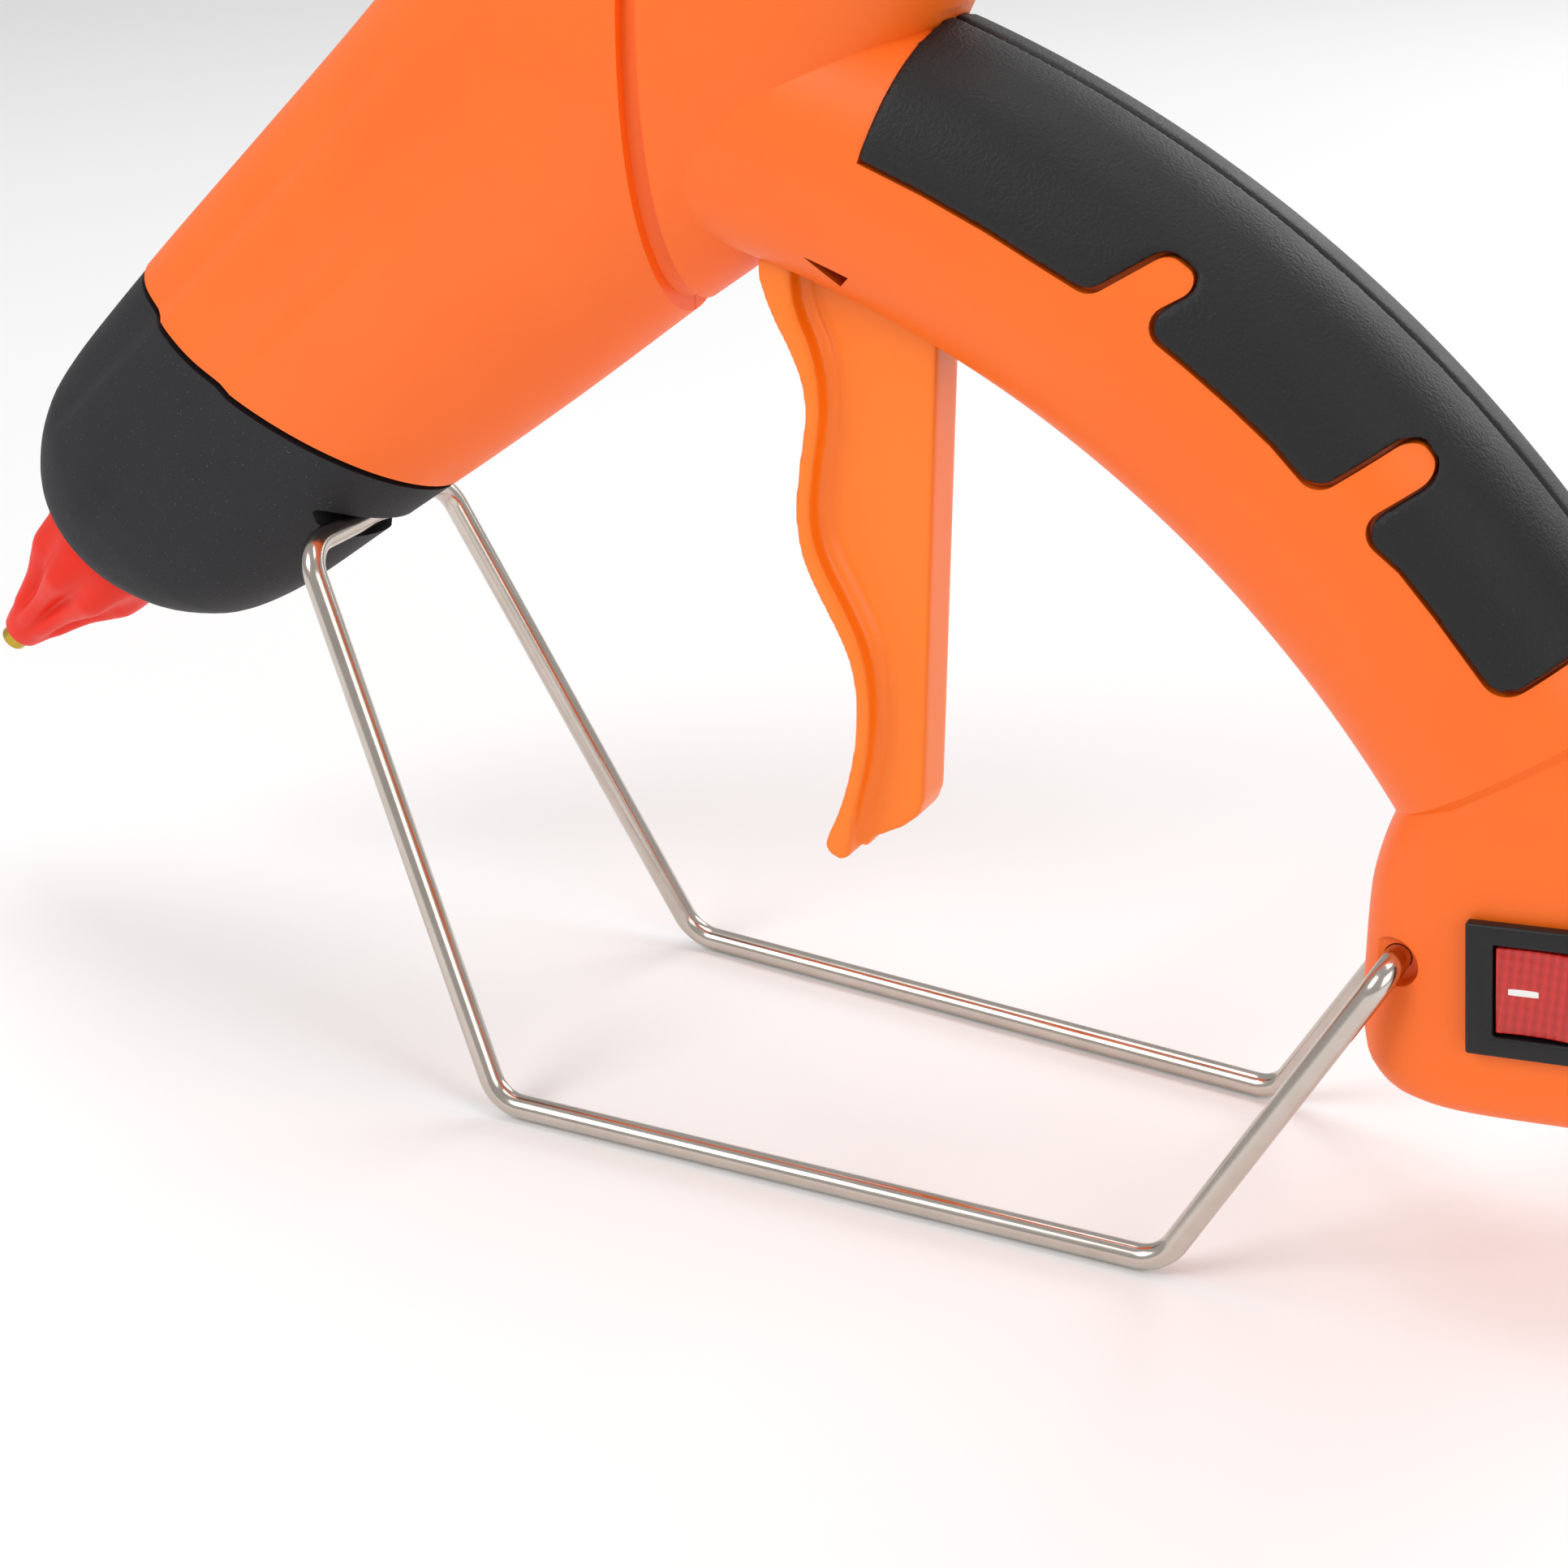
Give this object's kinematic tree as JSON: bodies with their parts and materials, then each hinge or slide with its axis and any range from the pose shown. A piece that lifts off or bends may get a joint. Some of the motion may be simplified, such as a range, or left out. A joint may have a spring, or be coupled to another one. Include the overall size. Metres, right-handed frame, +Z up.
{
  "type": "glue gun",
  "caption": "Hot-melt glue gun pitched nose-down on a hooked wire stand, with squeeze trigger, stick feed, rubber grip and rocker switch.",
  "frame": {"origin": "bottom centre of the bounding box, on the surface the stand rests on", "axes": "+X to the rear of the gun (the nozzle points to -X and down), +Y away from the switch side, +Z up"},
  "size_m": [0.245, 0.0534, 0.1691],
  "materials": {
    "orange_shell": "satin moulded plastic, fine grain",
    "trigger_plastic": "smooth moulded plastic",
    "charcoal_cap": "matte heat-resistant plastic with fine specks",
    "grip_rubber": "grained overmoulded rubber",
    "silicone_red": "matte silicone",
    "brass": "machined",
    "spring_steel": "bright spring steel",
    "nickel_wire": "nickel-plated wire",
    "aluminium_cast": "as cast",
    "ceramic": "dull ceramic",
    "mica": "pale insulating sheet",
    "fuse_body": "dull tinned metal",
    "phenolic": "brown phenolic board",
    "silicone_inner": "translucent silicone",
    "black_plastic": "fine matte",
    "white_plastic": "smooth acetal",
    "rocker_red": "translucent red",
    "contact_brass": "bright",
    "lead_wire": "silicone-jacketed lead wires",
    "screw_steel": "zinc plated"
  },
  "bodies": {
    "housing": {"left_shell": "orange_shell", "right_shell": "orange_shell", "nose_cap": "charcoal_cap", "grip_left": "grip_rubber", "grip_right": "grip_rubber", "nozzle": "brass", "nozzle_sleeve": "silicone_red", "valve_seat": "spring_steel", "check_spring": "spring_steel", "heating_chamber": "aluminium_cast", "ptc_heater": "ceramic", "upper_insulator": "mica", "lower_insulator": "mica", "thermal_fuse": "fuse_body", "front_support": "phenolic", "rear_support": "phenolic", "inlet_sleeve": "silicone_inner", "sleeve_clamp": "spring_steel", "stick_bush": "black_plastic", "trigger_pin": "spring_steel", "return_spring": "spring_steel", "switch_housing": "black_plastic", "terminal_1": "contact_brass", "terminal_2": "contact_brass", "terminal_3": "contact_brass", "terminal_block": "white_plastic", "wiring": "lead_wire", "cord_gland": "black_plastic", "screw_1": "screw_steel", "screw_2": "screw_steel", "screw_3": "screw_steel", "screw_4": "screw_steel", "screw_5": "screw_steel", "screw_6": "screw_steel"},
    "trigger": {"trigger": "trigger_plastic"},
    "carriage": {"feed_carriage": "white_plastic", "gripper_pin": "spring_steel"},
    "gripper": {"stick_gripper": "spring_steel"},
    "rocker": {"switch_rocker": "rocker_red"},
    "ball": {"check_ball": "spring_steel"},
    "stand": {"wire_stand": "nickel_wire"}
  },
  "joints": [
    {"name": "trigger_pull", "type": "hinge", "parent": "housing", "child": "trigger", "pos_m": [0.00923, 0, 0.11347], "axis": [0, -1, 0], "range_deg": [0, 18], "stiffness_Nm_per_rad": 0.6, "springref_deg": -17.19},
    {"name": "carriage_feed", "type": "slide", "parent": "housing", "child": "carriage", "axis": [-0.7431, 0, -0.6691], "range_m": [0, 0.0098]},
    {"name": "gripper_tip", "type": "hinge", "parent": "carriage", "child": "gripper", "pos_m": [-0.00707, 0, 0.12679], "axis": [0, -1, 0], "range_deg": [-5.4, 5.4]},
    {"name": "rocker_switch", "type": "hinge", "parent": "housing", "child": "rocker", "pos_m": [0.09452, -0.0116, 0.04168], "axis": [-0.1045, 0, 0.9945], "range_deg": [0, 18]},
    {"name": "stand_swing", "type": "hinge", "parent": "housing", "child": "stand", "pos_m": [0.07586, 0, 0.0403], "axis": [0, -1, 0], "range_deg": [0, 70]},
    {"name": "ball_lift", "type": "slide", "parent": "housing", "child": "ball", "axis": [-0.7431, 0, -0.6691], "range_m": [0, 0.0015], "stiffness_N_per_m": 20, "springref_m": -0.003}
  ],
  "couplings": [
    {"joint": "carriage_feed", "follows": "trigger_pull", "m_per_rad": 0.031},
    {"joint": "gripper_tip", "follows": "trigger_pull", "ratio": 0.28}
  ]
}
